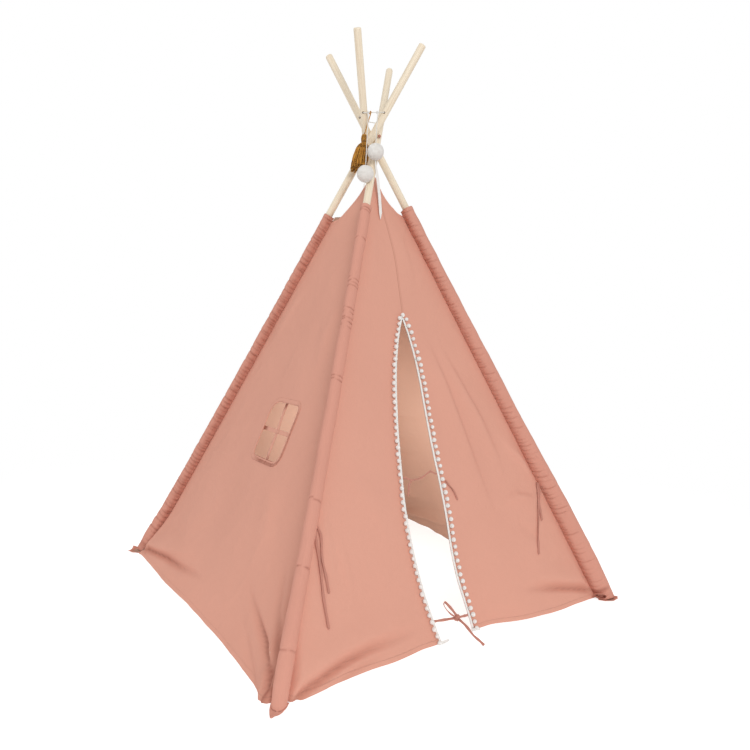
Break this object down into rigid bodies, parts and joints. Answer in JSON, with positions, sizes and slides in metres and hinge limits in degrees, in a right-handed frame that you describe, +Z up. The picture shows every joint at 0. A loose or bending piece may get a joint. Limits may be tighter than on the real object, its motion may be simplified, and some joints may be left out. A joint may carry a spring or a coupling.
{
  "type": "kids teepee",
  "caption": "Child's play teepee: crossed wooden poles in cloth pockets, four draped walls, a slit door edged with pompoms, a barred window, and felt balls with a tassel at the top.",
  "frame": {"origin": "on the floor, midway between the four pole feet", "axes": "+Z up; the door wall faces -Y and the window wall faces -X"},
  "size_m": [1.109, 1.109, 1.6109],
  "materials": {
    "cloth": "dusty pink cotton muslin, matt and slightly crinkled",
    "wood": "pale natural wood, sanded and unvarnished",
    "ferrule": "plain drawn tube",
    "felt": "off-white wool felt",
    "trim": "off-white pompom trim on tape",
    "yarn": "mustard wool yarn",
    "string": "off-white cotton cord and ribbon"
  },
  "bodies": {
    "canopy": {"door_wall": "cloth", "right_wall": "cloth", "back_wall": "cloth", "window_wall": "cloth", "window_binding": "cloth", "window_bars": "cloth", "trim_top": "trim", "tie_cord": "string"},
    "pole_front_left": {"pole_lower_front_left": "wood", "pole_upper_front_left": "wood", "ferrule_front_left": "ferrule", "sleeve_front_left": "cloth", "foot_flap_front_left": "cloth", "tie_back_left_long": "cloth", "tie_back_left_short": "cloth"},
    "pole_front_right": {"pole_lower_front_right": "wood", "pole_upper_front_right": "wood", "ferrule_front_right": "ferrule", "sleeve_front_right": "cloth", "foot_flap_front_right": "cloth", "tie_back_right_long": "cloth", "tie_back_right_short": "cloth"},
    "pole_back_right": {"pole_lower_back_right": "wood", "pole_upper_back_right": "wood", "ferrule_back_right": "ferrule", "sleeve_back_right": "cloth", "foot_flap_back_right": "cloth"},
    "pole_back_left": {"pole_lower_back_left": "wood", "pole_upper_back_left": "wood", "ferrule_back_left": "ferrule", "sleeve_back_left": "cloth", "foot_flap_back_left": "cloth"},
    "door_left": {"door_flap_left": "cloth", "trim_left": "trim", "middle_tie_left": "cloth", "bow_left": "cloth"},
    "door_right": {"door_flap_right": "cloth", "trim_right": "trim", "middle_tie_outer": "cloth", "middle_tie_inner": "cloth", "bow_knot": "cloth", "bow_right": "cloth", "bow_loop": "cloth", "bow_tail": "cloth"},
    "upper_ball": {"ball_upper": "felt", "ball_upper_string": "string", "ball_upper_ribbon": "string"},
    "lower_ball": {"ball_lower": "felt", "ball_lower_string": "string", "ball_lower_tail": "string"},
    "tassel": {"tassel_head": "yarn", "tassel_skirt": "yarn", "tassel_loop": "yarn"}
  },
  "joints": [
    {"name": "fold_front_left", "type": "hinge", "parent": "canopy", "child": "pole_front_left", "pos_m": [0.01224, -0.01224, 1.34], "axis": [0.7071, -0.7071, 0], "range_deg": [0, 24], "deforming": ["door_wall", "right_wall", "back_wall", "window_wall", "tie_cord", "trim_top", "window_binding", "window_bars", "tie_back_left_long", "tie_back_left_short"]},
    {"name": "fold_front_right", "type": "hinge", "parent": "canopy", "child": "pole_front_right", "pos_m": [0.01224, 0.01224, 1.34], "axis": [0.7071, 0.7071, 0], "range_deg": [0, 24], "deforming": ["tie_back_right_long", "tie_back_right_short"]},
    {"name": "fold_back_right", "type": "hinge", "parent": "canopy", "child": "pole_back_right", "pos_m": [-0.01224, 0.01224, 1.34], "axis": [-0.7071, 0.7071, 0], "range_deg": [0, 24]},
    {"name": "fold_back_left", "type": "hinge", "parent": "canopy", "child": "pole_back_left", "pos_m": [-0.01224, -0.01224, 1.34], "axis": [-0.7071, -0.7071, 0], "range_deg": [0, 24]},
    {"name": "open_left", "type": "hinge", "parent": "pole_front_left", "child": "door_left", "pos_m": [-0.05567, -0.23915, 0.69051], "axis": [-0.3381, -0.3276, -0.8823], "range_deg": [0, 110], "deforming": ["door_flap_left", "trim_left", "middle_tie_left", "bow_left"]},
    {"name": "open_right", "type": "hinge", "parent": "pole_front_right", "child": "door_right", "pos_m": [0.0363, -0.23652, 0.69052], "axis": [-0.3029, 0.3308, 0.8938], "range_deg": [0, 110], "deforming": ["door_flap_right", "trim_right", "middle_tie_outer", "middle_tie_inner", "bow_right", "bow_loop", "bow_tail"]},
    {"name": "swing_upper_ball", "type": "hinge", "parent": "canopy", "child": "upper_ball", "pos_m": [-0.0135, -0.04361, 1.41145], "axis": [-0.8251, 0.565, 0], "range_deg": [0, 50]},
    {"name": "swing_lower_ball", "type": "hinge", "parent": "canopy", "child": "lower_ball", "pos_m": [-0.03815, -0.03181, 1.40831], "axis": [-0.8251, 0.565, 0], "range_deg": [0, 50]},
    {"name": "swing_tassel", "type": "hinge", "parent": "canopy", "child": "tassel", "pos_m": [-0.03176, -0.03487, 1.40912], "axis": [0.565, 0.8251, 0], "range_deg": [0, 24]}
  ],
  "couplings": [
    {"joint": "fold_front_right", "follows": "fold_front_left", "ratio": 1},
    {"joint": "fold_back_right", "follows": "fold_front_left", "ratio": 1},
    {"joint": "fold_back_left", "follows": "fold_front_left", "ratio": 1}
  ]
}
